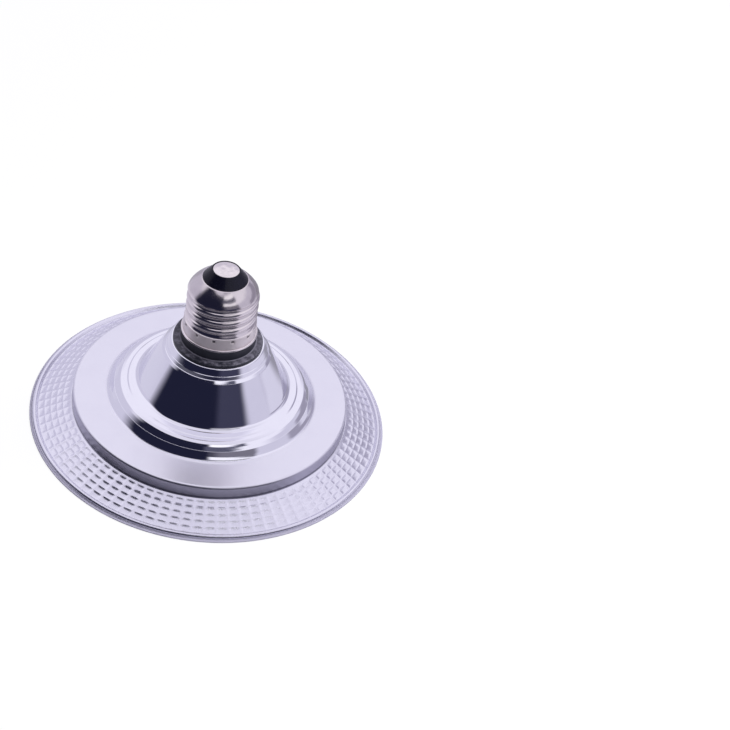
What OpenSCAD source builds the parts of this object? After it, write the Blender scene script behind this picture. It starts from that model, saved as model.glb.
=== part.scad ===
// LED grow light bulb with a bell-shaped metal housing, a faceted mirror rim and a screw cap.
// It stands on its rim with the cap up, which is also how it hangs from a lampholder.
// Origin: centre of the rim's underside. Z is the lamp's axis. Millimetres.

/* [Reflector] */
// Width of the flange, from its hub to the rim's outer edge
flange_w = 15.2; // [12:0.1:20]
// Height of the reflector's shoulder, on which the housing stands
flange_rise = 6.6; // [6:0.1:8]
// Thickness of the rim's plain edge
rim_t = 0.65; // [0.5:0.05:0.9]
// Width of the rim's plain edge
rim_w = 1.1; // [0.8:0.1:2]
// Width of the bead between the outermost facets and the rim's edge
bead_w = 2.2; // [1.8:0.1:3]
// Height of the bead
bead_rise = 2.05; // [1.8:0.05:2.6]
// Thickness of the faceted flange at its hub
flange_t = 1.45; // [1.2:0.05:2]
// Mirror facets around the flange
facet_cols = 90; // [60:6:96]
// Rings of mirror facets
facet_rows = 5; // [3:1:5]
// Height of a mirror facet
facet_h = 0.3; // [0.15:0.05:0.45]

/* [Lens] */
// Thickness of the clear lens
lens_t = 1.5; // [1:0.1:2]
// Depth of the lens, from its seat to its face
lens_depth = 3.3; // [2.8:0.1:4]
// Rounding at the edge of the lens
lens_edge_r = 2.6; // [1.8:0.1:2.8]
// Radial play of the lens in its seat
lens_play = 0.15; // [0.1:0.05:0.4]

/* [Housing] */
// Sheet thickness of the housing
sheet_t = 0.8; // [0.6:0.1:1]
// Height of the pan's wall
pan_rise = 4.9; // [4.2:0.1:6]
// How much wider the pan's foot is than its face, on the radius
pan_draft = 0.4; // [0.2:0.1:1]
// How far the wall of the step leans in
step_run = 3; // [2:0.1:4]
// Height of the step
step_rise = 4.7; // [4:0.1:6]
// Width of the dished floor between the step and the bell
dish_w = 7.5; // [6:0.1:9]
// Height of the dished floor
dish_rise = 1; // [0.6:0.1:1.6]
// How far the wall of the bell leans in
bell_run = 8.2; // [6:0.1:10]
// Height of the bell
bell_rise = 15.2; // [12:0.1:18]
// How far the two rings at the neck's foot stand out from it
wide_ring = 2.8; // [2:0.1:3.5]
narrow_ring = 1; // [0.8:0.1:1.6]
// How much wider the neck is than the collar, on the radius
neck_step = 3.4; // [3:0.1:4]
// Height of the neck with its rings
neck_rise = 4.8; // [4.2:0.1:6]

/* [Light board] */
// Diameter of the light board
board_d = 99; // [96:0.5:100]
// Thickness of the light board
board_t = 1.2; // [1:0.1:1.6]
// Diameter of the wire hole in the board's middle
wire_hole_d = 11.7; // [9:0.1:13]
// Chips in the outer ring
outer_leds = 22; // [12:1:24]
// Distance from the board's edge to the outer ring of chips
led_margin = 5.5; // [4:0.1:8]
// Chips in the inner ring
inner_leds = 20; // [10:1:22]
// Distance between the two rings of chips
ring_gap = 8.2; // [6:0.1:11]
// Radius of the six grow chips
grow_led_r = 20.2; // [19.8:0.1:24]
// Length of a chip's package
led_l = 3.5; // [3:0.1:3.6]
// Width of a chip's package
led_w = 2.8; // [2:0.1:3]
// Height of a chip's package
led_h = 0.8; // [0.5:0.1:1]

/* [Screws] */
// Distance of the two board screws from the driver case's outer face
screw_inset = 1.7; // [1.4:0.05:2]
// Shank diameter of a board screw
screw_d = 2.5; // [2:0.1:2.8]
// Shank length of a board screw
screw_l = 9; // [6:0.5:11]
// Head diameter of a board screw
screw_head_d = 4.8; // [4.2:0.1:5.2]
// Head height of a board screw
screw_head_h = 1.7; // [1.2:0.1:2]

/* [Cap] */
// Height of the black case that shows between the neck and the cap
collar_show = 4.85; // [3:0.05:6]
// Thickness of the case's brim, which rests on the neck
brim_t = 1.2; // [1:0.1:2]
// How much wider the collar is than the bung in the cap's skirt, on the radius
collar_step = 1.2; // [0.8:0.1:1.6]
// Height of the cap's plain skirt
skirt_rise = 5.6; // [4.5:0.1:8]
// Length of the cap's thread
thread_rise = 12; // [10:0.5:14]
// Diameter over the thread's crests
thread_d = 26.2; // [26.05:0.05:26.45]
// Depth of the thread
thread_depth = 1; // [0.9:0.05:1.1]
// Pitch of the thread
pitch = 3.629; // [3.6:0.001:3.65]
// Height of the domed shoulder over the thread
dome_rise = 6; // [5:0.1:7]
// Height of the black insulator over the shoulder
insulator_rise = 3.8; // [3:0.1:5]
// Diameter of the centre contact
contact_d = 9.4; // [8.5:0.1:9.6]

/* [Driver] */
// Wall of the driver case
case_t = 1.6; // [1.2:0.1:1.8]
// Height of the driver board over the light board
driver_lift = 5.8; // [5:0.1:8]
// Thickness of the driver board
driver_t = 1.6; // [1:0.1:2]
// Diameter of the board's red and white leads
lead_d = 1.4; // [1:0.1:1.6]

/* [Hidden] */

$fn = 96;

// Small overlap that makes two shapes of one piece meet, and the reach of a cut past a face
bite = 0.2;
// Play between pieces that slide into each other
play = 0.1;

// Heights, from the rim's underside up
z_shoulder = flange_rise;
z_lens_seat = z_shoulder - 0.9;
z_pan = z_shoulder + pan_rise;
z_board_back = z_pan - sheet_t;
z_board_face = z_board_back - board_t;
z_step = z_pan + step_rise;
z_bell = z_step + dish_rise;
z_rings = z_bell + bell_rise;
z_neck = z_rings + neck_rise;
z_skirt = z_neck + collar_show;
z_thread = z_skirt + skirt_rise;
z_dome = z_thread + thread_rise;
z_shell = z_dome + dome_rise;
z_contact = z_shell + insulator_rise;

// Radii of the cap, from its thread inwards and outwards
thread_r = thread_d / 2;
root_r = thread_r - thread_depth;
shell_t = 0.6;
shell_bore_r = root_r - shell_t;
shell_hole_r = thread_r - 5.9;
skirt_r = thread_r + 1;
skirt_top_r = thread_r + 0.2;
skirt_bore_r = skirt_top_r - 0.5;
spigot_r = shell_bore_r - play;
bung_r = skirt_bore_r - play;
collar_r = bung_r + collar_step;

// Radii of the driver case and the housing, from the collar outwards
case_r = collar_r + 0.85;
neck_hole_r = case_r + play;
neck_r = collar_r + neck_step;
brim_edge_r = 0.7;
brim_r = neck_r - brim_edge_r;
bell_r = neck_r + wide_ring + 0.1 + bell_run;
step_top_r = bell_r + dish_w;
step_r = step_top_r + step_run;

// Radii of the pan
board_r = board_d / 2;
board_play = 1.4;
pan_inner_r = board_r + board_play;
pan_r = pan_inner_r + sheet_t;
pan_foot_r = pan_r + pan_draft;
// Pocket of the lens, and the collar on whose top the board rests
lens_seat_r = pan_inner_r - 0.3;
lens_r = lens_seat_r - lens_play;
board_ledge = 0.8;
collar_inner_r = board_r - board_ledge;

// Rings of chips
outer_led_r = board_r - led_margin;
inner_led_r = outer_led_r - ring_gap;

// Turns of the lamp's parts round its axis
screw_turns = [90, 270];
red_pad_turn = 150;
white_pad_turn = 210;
pad_r = 11.5;

function unit(v) = v / norm(v);
function left_of(v) = [-v[1], v[0]];
// First two numbers of a path's corner
function xy(p) = [p[0], p[1]];

// Points of a polar arc round a centre, from angle a0 to angle a1
function arc(centre, r, a0, a1, n = 6) =
    [for (i = [0:n]) let (a = a0 + (a1 - a0) * i / n) centre + r * [cos(a), sin(a)]];

// Where two neighbouring stretches of a path meet when the path moves left by t
function shifted(p, i, t) =
    let (last = len(p) - 1,
         b = xy(p[i]),
         n1 = i == 0 ? left_of(unit(xy(p[1]) - b)) : left_of(unit(b - xy(p[i - 1]))),
         n2 = i == last ? n1 : left_of(unit(xy(p[i + 1]) - b)))
    b + (n1 + n2) * t / (1 + n1 * n2);

// The corner at b between a and c, rounded with radius r as an arc
function corner(a, b, c, r) =
    let (u = unit(a - b), v = unit(c - b),
         half = acos(u * v) / 2,
         centre = b + unit(u + v) * r / sin(half),
         from = b + u * r / tan(half) - centre,
         side = u[0] * v[1] - u[1] * v[0] > 0 ? -1 : 1,
         start = atan2(from[1], from[0]))
    arc(centre, r, start, start + side * (180 - 2 * half), max(3, round((180 - 2 * half) / 9)));

// A path of [x, z, rounding] corners moved left by t, with every corner rounded to suit
function bent(p, t = 0) =
    let (last = len(p) - 1, q = [for (i = [0:last]) shifted(p, i, t)])
    [for (i = [0:last])
        let (turn = i > 0 && i < last ?
                 (xy(p[i]) - xy(p[i - 1])) * left_of(xy(p[i]) - xy(p[i + 1])) : 0,
             r = p[i][2] + (turn > 0 ? -t : t))
        for (k = i == 0 || i == last || p[i][2] == 0 || r <= 0.02 ?
                 [q[i]] : corner(q[i - 1], q[i], q[i + 1], r)) k];

// Reversed copy of a list
function reversed(p) = [for (i = [len(p) - 1:-1:0]) p[i]];

// Section of a sheet of thickness t that lies to the left of a path of corners
module sheet(path, t) polygon(concat(bent(path), reversed(bent(path, t))));

// Copies of the children at n even places on a circle, facing outwards
module ring_of(n, r, start = 0)
    for (i = [0:n - 1]) rotate(start + 360 * i / n) translate([r, 0]) children();

// Tube swept along a route of points, with a ring of sides at each point
function tube_ring(route, i, r, sides) =
    let (last = len(route) - 1,
         along = unit(i == 0 ? route[1] - route[0] :
                      i == last ? route[last] - route[last - 1] :
                      unit(route[i + 1] - route[i]) + unit(route[i] - route[i - 1])),
         across = unit(cross(along, abs(along[0]) < 0.8 ? [1, 0, 0] : [0, 1, 0])),
         up = cross(along, across))
    [for (k = [0:sides - 1]) let (a = 360 * k / sides)
        route[i] + r * (cos(a) * across + sin(a) * up)];

module tube(route, d, sides = 8) {
    last = len(route) - 1;
    points = [for (i = [0:last]) each tube_ring(route, i, d / 2, sides)];
    walls = [for (i = [0:last - 1], k = [0:sides - 1])
                let (n = (k + 1) % sides)
                [i * sides + k, i * sides + n, (i + 1) * sides + n, (i + 1) * sides + k]];
    polyhedron(points, concat([[for (k = [sides - 1:-1:0]) k]], walls,
                              [[for (k = [0:sides - 1]) last * sides + k]]));
}

// Route smoothed between its points, with n steps to each stretch
function eased(p, n = 4) =
    let (last = len(p) - 1)
    [for (i = [0:last - 1], s = [0:n - 1])
        let (t = s / n, a = p[max(i - 1, 0)], b = p[i], c = p[i + 1], d = p[min(i + 2, last)])
        0.5 * (2 * b + (c - a) * t + (2 * a - 5 * b + 4 * c - d) * t * t
               + (3 * b - a - 3 * c + d) * t * t * t),
     p[last]];

// Reflector

// The flange's outer and inner side fall in straight lines from the hub, which stands a little
// proud of it, to the bead. The underside of the bead clears the surface that the lamp stands on.
proud = 0.25;
bead_r = 0.8;
bead_lift = 0.2;
bead_foot_t = 0.85;
hub_r = pan_foot_r + 0.2;
rim_r = hub_r + flange_w;
edge_r = rim_r - rim_w;
facet_r0 = hub_r + 0.35;
facet_r1 = edge_r - bead_w;
bead_foot_r = facet_r1 + 0.05;
function fall(r, z0, z1) = z1 + (z0 - z1) * max(0, facet_r1 - r) / (facet_r1 - hub_r);
function flange_top(r) = fall(r, z_shoulder - proud, bead_lift + bead_foot_t);
function flange_bottom(r) = fall(r, z_shoulder - proud - flange_t, bead_lift + 0.05);

// Radii of the rings of points on the flange, from the hub to the bead
facet_step = (facet_r1 - facet_r0) / facet_rows;
flange_rings = concat([hub_r - bite], [for (k = [0:facet_rows]) facet_r0 + k * facet_step],
                      [facet_r1 + bite]);

// One side of the flange: rings of plain points, then the raised points of its facets.
// A facet of flat share 0 is a pyramid with one top point, else it has four.
function side_points(top, lift, share) =
    concat([for (r = flange_rings, j = [0:facet_cols - 1])
               [r * cos(360 * j / facet_cols), r * sin(360 * j / facet_cols),
                top ? flange_top(r) : flange_bottom(r)]],
           [for (k = [0:facet_rows - 1], j = [0:facet_cols - 1],
                 e = share == 0 ? [[0, 0]] : [[-1, -1], [1, -1], [1, 1], [-1, 1]])
               let (r = facet_r0 + (k + 0.5 + e[0] * share / 2) * facet_step,
                    a = 360 * (j + 0.5 + e[1] * share / 2) / facet_cols)
               [r * cos(a), r * sin(a), (top ? flange_top(r) : flange_bottom(r)) + lift]]);

function side_faces(share, first) =
    let (rings = len(flange_rings), raised = first + rings * facet_cols,
         n = share == 0 ? 1 : 4)
    concat([for (k = [0, rings - 2], j = [0:facet_cols - 1])
               let (a = first + k * facet_cols, m = (j + 1) % facet_cols)
               [a + j, a + facet_cols + j, a + facet_cols + m, a + m]],
           [for (k = [0:facet_rows - 1], j = [0:facet_cols - 1])
               let (a = first + (k + 1) * facet_cols, m = (j + 1) % facet_cols,
                    rim = [a + j, a + facet_cols + j, a + facet_cols + m, a + m],
                    tip = raised + (k * facet_cols + j) * n)
               for (f = n == 1 ?
                        [for (s = [0:3]) [rim[s], rim[(s + 1) % 4], tip]] :
                        concat([[tip, tip + 1, tip + 2, tip + 3]],
                               [for (s = [0:3]) [rim[s], rim[(s + 1) % 4],
                                                 tip + (s + 1) % 4, tip + s]])) f]);

function turned(faces) = [for (f = faces) reversed(f)];

module faceted_flange() {
    cushion_share = 0.62;
    top = side_points(true, -facet_h, 0);
    bottom = side_points(false, -facet_h, cushion_share);
    last = (len(flange_rings) - 1) * facet_cols;
    ends = [for (j = [0:facet_cols - 1])
               let (m = (j + 1) % facet_cols, b = len(top))
               each [[j, m, b + m, b + j], [last + m, last + j, b + last + j, b + last + m]]];
    polyhedron(concat(top, bottom),
               concat(turned(side_faces(0, 0)), side_faces(cushion_share, len(top)), ends));
}

module reflector() color([0.8, 0.8, 0.86]) {
    faceted_flange();
    rotate_extrude() {
        // Hub with the pocket for the lens, the shoulder for the housing and the collar
        polygon([[lens_seat_r, flange_bottom(lens_seat_r) - proud],
                 [hub_r, flange_bottom(hub_r) - proud],
                 [hub_r, z_shoulder],
                 [pan_inner_r - play, z_shoulder],
                 [pan_inner_r - play, z_board_face],
                 [collar_inner_r, z_board_face],
                 [collar_inner_r, z_lens_seat],
                 [lens_seat_r, z_lens_seat]]);
        // Bead and plain edge of the rim
        polygon(concat(
            [[bead_foot_r, bead_lift], [edge_r, bead_lift], [edge_r, 0], [rim_r, 0], [rim_r, rim_t],
             [edge_r, rim_t]],
            arc([edge_r - bead_r, bead_rise - bead_r], bead_r, 0, 140, 8),
            [[bead_foot_r, bead_lift + bead_foot_t + 0.05]]));
    }
}

// Clear lens: a shallow dish with a rounded edge, its face a little bowed
lens_bow = 0.5;
lens_draft = 0.3;

module lens() {
    face = [for (k = [0, 2, 3, 4, 5, 6]) let (x = cos(15 * k))
               [(lens_r - lens_draft) * x, z_lens_seat - lens_depth + lens_bow * x * x,
                k == 0 ? min(lens_edge_r, lens_depth - lens_bow - bite) : 0]];
    color([0.85, 0.87, 0.95, 0.35]) rotate_extrude() intersection() {
        sheet(concat([[lens_r, z_lens_seat, 0]], face), -lens_t);
        square([lens_seat_r, z_lens_seat]);
    }
}

// Housing: one sheet, from the pan's foot over the step and the bell to the neck's hole
groove_r = bell_r + 3.65;
groove_z = z_step + dish_rise / 2;
housing_path = [
    [pan_foot_r, z_shoulder, 0],
    [pan_r, z_pan, 0.9],
    [step_r, z_pan, 2.2],
    [step_top_r, z_step, 1.5],
    [groove_r, groove_z, 0],
    [groove_r - 0.5, groove_z + 0.4, 0],
    [bell_r, z_bell, 2.2],
    [neck_r + wide_ring + 0.1, z_rings, 0.5],
    [neck_r + wide_ring - 0.1, z_rings + 0.7, 0.4],
    [neck_r + narrow_ring + 0.1, z_rings + 0.9, 0.3],
    [neck_r + narrow_ring - 0.05, z_rings + 2.6, 0.4],
    [neck_r, z_rings + 3, 0.3],
    [neck_r, z_neck, brim_edge_r],
    [neck_hole_r, z_neck, 0]];

module housing() color([0.74, 0.75, 0.8]) rotate_extrude($fn = 144) intersection() {
    sheet(housing_path, sheet_t);
    translate([0, z_shoulder]) square(pan_foot_r);
}

// Light board, with its wire hole, the two screw slots and a small locating hole
slot_w = screw_d + 0.7;
slot_reach = 3.1;
locating_hole_r = 21.9;
locating_hole_d = 2.6;

module led_board() color([0.93, 0.93, 0.97]) difference() {
    translate([0, 0, z_board_face]) cylinder(r = board_r, h = board_t);
    translate([0, 0, z_board_face - 1]) {
        cylinder(d = wire_hole_d, h = board_t + 2);
        rotate(30) translate([locating_hole_r, 0]) cylinder(d = locating_hole_d, h = board_t + 2);
        for (turn = screw_turns) rotate(turn) {
            translate([screw_r, 0]) cylinder(d = slot_w, h = board_t + 2);
            translate([screw_r + slot_reach, 0]) cylinder(d = slot_w, h = board_t + 2);
            translate([screw_r, -slot_w / 2, 0]) cube([slot_reach, slot_w, board_t + 2]);
        }
    }
}

// One chip on the underside of the board, its long side along the ring, with its light window
window_share = 0.76;
window_depth = 0.12;

module chip() translate([0, 0, z_board_face - led_h / 2]) difference() {
    cube([led_w, led_l, led_h], center = true);
    translate([0, 0, -led_h / 2])
        cube([led_w * window_share, led_l * window_share, 2 * window_depth], center = true);
}

module outer_ring_leds() color([0.96, 0.94, 0.7])
    ring_of(outer_leds, outer_led_r, 180 / outer_leds) chip();

module inner_ring_leds() color([0.96, 0.94, 0.7]) ring_of(inner_leds, inner_led_r) chip();

module grow_leds() color([0.85, 0.83, 0.9]) ring_of(6, grow_led_r) chip();

// Two pan-head screws that clamp the board, the housing and the driver case together
module board_screws() color([0.8, 0.79, 0.76])
    for (turn = screw_turns) rotate(turn) translate([screw_r, 0, z_board_face])
        difference() {
            union() {
                cylinder(d = screw_d, h = screw_l);
                rotate_extrude() polygon(concat(
                    [[0, 0], [screw_head_d / 2, 0]],
                    arc([screw_head_d / 2 - 0.7, 0.7 - screw_head_h], 0.7, 0, -90, 5),
                    [[0, -screw_head_h]]));
            }
            // Cross recess
            for (a = [45, 135]) rotate(a) translate([0, 0, -screw_head_h])
                cube([screw_head_d * 0.56, 0.6, 1.8], center = true);
        }

// Driver case: a moulded tube that carries the cap and hangs in the neck by its brim
case_bore_r = case_r - case_t;
case_roof_z = z_skirt - case_t;
spigot_bore_r = spigot_r - case_t;
screw_r = case_r - screw_inset;
boss_r = screw_d / 2 + 1.3;
boss_h = screw_l + 2;
driver_z = z_board_back + driver_lift;
driver_top_z = driver_z + driver_t;
driver_shelf = 1;
case_foot_z = z_board_back + 1;
bung_top_z = z_thread - 0.3;
spigot_top_z = z_thread + 8.2;

module driver_case() color([0.09, 0.09, 0.11]) difference() {
    union() {
        rotate_extrude() polygon([
            [case_bore_r, case_foot_z],
            [case_r, case_foot_z],
            [case_r, z_neck],
            [brim_r, z_neck],
            each arc([brim_r - brim_edge_r, z_neck + brim_t - brim_edge_r], brim_edge_r, 0, 90, 5),
            [collar_r, z_neck + brim_t],
            [collar_r, z_skirt],
            [bung_r, z_skirt],
            [bung_r, bung_top_z],
            [spigot_r, bung_top_z],
            [spigot_r, spigot_top_z],
            [spigot_bore_r, spigot_top_z],
            [spigot_bore_r, case_roof_z],
            [case_bore_r - driver_shelf, case_roof_z],
            [case_bore_r - driver_shelf, driver_top_z],
            [case_bore_r, driver_top_z]]);
        for (turn = screw_turns) rotate(turn)
            translate([screw_r, 0, z_board_back]) cylinder(r = boss_r, h = boss_h, $fn = 48);
    }
    for (turn = screw_turns) rotate(turn)
        translate([screw_r, 0, z_board_back - 1])
            cylinder(d = screw_d + 0.1, h = boss_h, $fn = 48);
}

// Driver board: a disc under the case's shelf, notched round the two screw bosses
driver_r = case_bore_r - play;
// Plated hole of the driver board, which shows through the wire hole
eyelet_r = 3.2;
eyelet_d = 1.2;
eyelet_turn = 232;

module driver_board() color([0.1, 0.13, 0.2]) translate([0, 0, driver_z]) difference() {
    cylinder(r = driver_r, h = driver_t);
    for (turn = screw_turns) rotate(turn)
        translate([screw_r, 0, -1]) cylinder(r = boss_r + 2 * play, h = driver_t + 2, $fn = 48);
    rotate(eyelet_turn) translate([eyelet_r, 0, -1]) cylinder(d = eyelet_d, h = driver_t + 2, $fn = 24);
}

// Parts on top of the driver board, each at a distance from the board's edge
capacitor_d = 8;
capacitor_h = 12.5;
film_w = 6;
film_h = 8;
film_t = 3.4;
inductor_d = 7.2;
inductor_h = 8;
bridge_w = 3.8;
bridge_h = 4.2;
fuse_d = 2.2;
fuse_h = 7.4;

module on_driver(inset, turn)
    translate([(driver_r - inset) * cos(turn), (driver_r - inset) * sin(turn), driver_top_z])
        children();

module electrolytic_capacitor() color([0.12, 0.12, 0.3]) on_driver(7.45, 180)
    rotate_extrude($fn = 64) let (r = capacitor_d / 2) polygon(concat(
        [[0, 0], [r - 0.3, 0], [r - 0.1, 0.3], [r, 1.4], [r - 0.3, 1.8], [r, 2.2]],
        arc([r - 0.4, capacitor_h - 0.4], 0.4, 0, 90, 4), [[0, capacitor_h]]));

module film_capacitor() color([0.72, 0.2, 0.12]) on_driver(6.53, -48.7)
    hull() for (x = [0.8 - film_w / 2, film_w / 2 - 0.8], z = [0.8, film_h - 0.8])
        translate([x, 0, z]) rotate([90, 0, 0])
            cylinder(r = 0.8, h = film_t, center = true, $fn = 24);

module inductor() color([0.2, 0.2, 0.2]) on_driver(7.52, 49.4)
    rotate_extrude($fn = 64) let (r = inductor_d / 2) polygon([
        [0, 0], [r, 0], [r, 1.2], [r - 0.7, 1.5], [r - 0.7, inductor_h - 1.5],
        [r, inductor_h - 1.2], [r, inductor_h], [0, inductor_h]]);

module bridge_rectifier() color([0.13, 0.13, 0.14]) on_driver(5.85, 0) {
    translate([-bridge_w / 2, -0.75, 0.25]) cube([bridge_w, 1.1, bridge_h]);
    for (k = [-1.5:1.5]) translate([k * bridge_w / 4 - 0.25, -0.4, 0]) cube([0.5, 0.4, 0.4]);
}

module fuse_resistor() color([0.55, 0.72, 0.62]) on_driver(4.37, -98)
    rotate_extrude($fn = 32) let (r = fuse_d / 2) polygon([
        [0, 0], [0.35, 0], [0.35, 0.6], [r, 0.9], [r, fuse_h - 1.5], [0.35, fuse_h - 1.1],
        [0.35, fuse_h], [0, fuse_h]]);

// Leads from the driver board through the wire hole to the pads of the light board
function spot(r, turn, z) = [r * cos(turn), r * sin(turn), z];
lead_end_r = pad_r - 0.9;
lead_end_z = z_board_face - lead_d / 2 - 0.15;
wire_hole_r = wire_hole_d / 2;
red_route = [[8.4, 1.6, driver_z], [7.2, 1.9, driver_z - 2.6],
             spot(wire_hole_r - lead_d / 2 - 0.62, 30, z_board_back - 0.2),
             [0.4, 3.2, z_board_face - 1.3], [-5.2, 4.4, z_board_face - 1.6],
             spot(lead_end_r, red_pad_turn, lead_end_z)];
white_route = [[8.4, -1.6, driver_z], [7.2, -1.8, driver_z - 2.6],
               spot(wire_hole_r - lead_d / 2 - 0.72, -28, z_board_back - 0.2),
               [0.4, -2.8, z_board_face - 1.3], [-5.2, -4.3, z_board_face - 1.6],
               spot(lead_end_r, white_pad_turn, lead_end_z)];

module red_lead() color([0.7, 0.12, 0.15]) tube(eased(red_route), lead_d);

module white_lead() color([0.9, 0.9, 0.92]) tube(eased(white_route), lead_d);

// A mound of solder at the end of each lead
solder_r = 1.2;
solder_h = 1.1;

module solder_joints() color([0.72, 0.72, 0.74])
    for (turn = [red_pad_turn, white_pad_turn])
        translate(spot(pad_r, turn, z_board_face)) mirror([0, 0, 1])
            rotate_extrude($fn = 32) polygon(concat(
                [[0, 0]],
                [for (k = [0:5]) [solder_r * (1 - 0.7 * sin(18 * k)), solder_h * (1 - cos(18 * k))]],
                [[0, solder_h]]));

// Leads from the driver board up through the case to the cap
contact_shank_r = 1.5;
shank_z = z_shell - 2.5;
cap_lead_d = 1.2;
live_route = [[0.4, -1.4, driver_top_z], [0.6, -1.6, driver_top_z + 12], [0.2, -0.6, z_skirt],
              [0, 0, z_dome - 3], [0, 0, shank_z]];
neutral_route = [[2.6, 9.4, driver_top_z], [2.4, 9, driver_top_z + 8], [3.4, 6.4, z_neck - 2],
                 [5.6, 5, spigot_top_z - 2.2], spot(spigot_bore_r - 0.4, 39.8, spigot_top_z + 1),
                 spot(shell_bore_r - cap_lead_d / 2 - play, 39.8, spigot_top_z + 2.6)];

module live_lead() color([0.75, 0.1, 0.1]) tube(eased(live_route), cap_lead_d);

module neutral_lead() color([0.1, 0.1, 0.1]) tube(eased(neutral_route), cap_lead_d);

// Cap

plug_r = shell_hole_r + 0.8;
dome_top_r = shell_hole_r + 1.3;
// Points round the thread, steps to a turn, and how far the thread takes to fade out
round_steps = 48;
turn_steps = 9;
fade = pitch * 0.6;
// Height at which a crest faces -Y
crest_z = z_thread + pitch * 0.75;

function eased_step(t) = let (u = min(1, max(0, t))) u * u * (3 - 2 * u);

// Radius of the domed shoulder at a height over the thread
function dome_radius(z) =
    let (u = (z - z_dome) / dome_rise)
    u <= 0 ? thread_r :
    dome_top_r + (thread_r - dome_top_r) * (1 - pow(min(u, 1), 1.6));

// Radius of the threaded wall: a round thread is an eccentric circle that turns as it climbs
function wall_radius(a, z) =
    let (half = (thread_r - root_r) / 2,
         low = eased_step((z - z_thread) / fade),
         wave = half * (cos(a + 90 - 360 * (z - crest_z) / pitch) - 1),
         r = thread_r + wave * low)
    min(r, dome_radius(z));

module threaded_wall() {
    foot = z_thread - 2 * bite;
    rings = round((z_shell - foot) / pitch * turn_steps);
    points = [for (i = [0:rings], k = [0:round_steps - 1])
                 let (z = foot + (z_shell - foot) * i / rings,
                      a = 360 * k / round_steps, r = wall_radius(a, z))
                 [r * cos(a), r * sin(a), z]];
    walls = [for (i = [0:rings - 1], k = [0:round_steps - 1])
                let (n = (k + 1) % round_steps, a = i * round_steps)
                [a + k, a + round_steps + k, a + round_steps + n, a + n]];
    polyhedron(points, concat([[for (k = [0:round_steps - 1]) k]], walls,
        [[for (k = [round_steps - 1:-1:0]) rings * round_steps + k]]));
}

dimples = 12;
lip_r = 0.5;

module cap_shell() color([0.78, 0.74, 0.72]) difference() {
    union() {
        threaded_wall();
        // Skirt, flared to a rolled lip
        rotate_extrude() polygon(concat(
            [[shell_bore_r - bite, z_skirt]],
            arc([skirt_r - lip_r, z_skirt + lip_r], lip_r, -90, 75, 8),
            [[skirt_r - lip_r - 0.1, z_skirt + 2.1 * lip_r], [skirt_top_r, z_thread],
             [shell_bore_r - bite, z_thread]]));
    }
    rotate_extrude() polygon([
        [0, z_skirt - 1], [skirt_bore_r, z_skirt - 1], [skirt_bore_r, bung_top_z + play],
        [shell_bore_r, bung_top_z + play], [shell_bore_r, z_dome + 1.8],
        [plug_r, z_shell - shell_t], [shell_hole_r, z_shell - shell_t],
        [shell_hole_r, z_shell + 1], [0, z_shell + 1]]);
    // Staking dimples that hold the skirt on the case
    ring_of(dimples, skirt_top_r + 0.6, 276) translate([0, 0, z_thread - 1.25])
        sphere(r = 0.75, $fn = 16);
}

// Insulator: a black cone outside the shell, with a plug and a flange inside it
contact_r = contact_d / 2;
contact_t = 0.5;
contact_play = 0.15;
z_contact_seat = z_contact - contact_t;

module cap_insulator() color([0.06, 0.06, 0.08]) rotate_extrude() polygon([
    [contact_shank_r + play, z_shell - shell_t - 1.2],
    [plug_r - contact_play, z_shell - shell_t - 1.2],
    [plug_r - contact_play, z_shell - shell_t],
    [shell_hole_r - play, z_shell - shell_t],
    [shell_hole_r - play, z_shell],
    [dome_top_r - 0.3, z_shell],
    [contact_r + contact_play + 0.3, z_contact],
    [contact_r + contact_play, z_contact],
    [contact_r + contact_play, z_contact_seat],
    [contact_shank_r + play, z_contact_seat]]);

// Centre contact: a low dome on a shank, which grips the live lead
module center_contact() color([0.85, 0.84, 0.83]) rotate_extrude() polygon(concat(
    [[0, shank_z], [contact_shank_r, shank_z], [contact_shank_r, z_contact_seat],
     [contact_r, z_contact_seat]],
    [for (k = [0:6]) [contact_r * (1 - k / 6),
                      z_contact - 0.1 + contact_t * (1 - pow(1 - k / 6, 2))]]));

reflector();
lens();
housing();
led_board();
outer_ring_leds();
inner_ring_leds();
grow_leds();
board_screws();
driver_case();
driver_board();
electrolytic_capacitor();
film_capacitor();
inductor();
bridge_rectifier();
fuse_resistor();
red_lead();
white_lead();
solder_joints();
live_lead();
neutral_lead();
cap_shell();
cap_insulator();
center_contact();
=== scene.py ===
"""Looks of an LED grow light bulb that stands on its rim with its screw cap up.

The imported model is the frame. The polished parts whose mirror images need a finer surface than
the solids have are drawn again here at the same sizes, and every other solid gets its finish.
"""
import math

import bmesh
import bpy
import numpy as np
from mathutils import Matrix, Vector


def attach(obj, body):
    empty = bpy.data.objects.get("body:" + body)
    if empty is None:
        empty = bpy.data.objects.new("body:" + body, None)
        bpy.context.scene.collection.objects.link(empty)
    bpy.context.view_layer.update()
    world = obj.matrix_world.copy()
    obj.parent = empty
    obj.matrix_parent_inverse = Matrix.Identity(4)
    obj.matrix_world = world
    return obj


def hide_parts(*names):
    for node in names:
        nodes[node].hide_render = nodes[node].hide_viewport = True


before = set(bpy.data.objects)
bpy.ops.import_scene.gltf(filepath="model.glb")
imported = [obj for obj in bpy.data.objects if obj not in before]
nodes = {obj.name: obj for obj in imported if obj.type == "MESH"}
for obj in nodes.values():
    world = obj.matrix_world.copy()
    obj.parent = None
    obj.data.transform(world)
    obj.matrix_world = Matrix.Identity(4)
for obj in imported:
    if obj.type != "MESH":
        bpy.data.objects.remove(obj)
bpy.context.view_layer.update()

MM = 0.001
BODY = "root"

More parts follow.
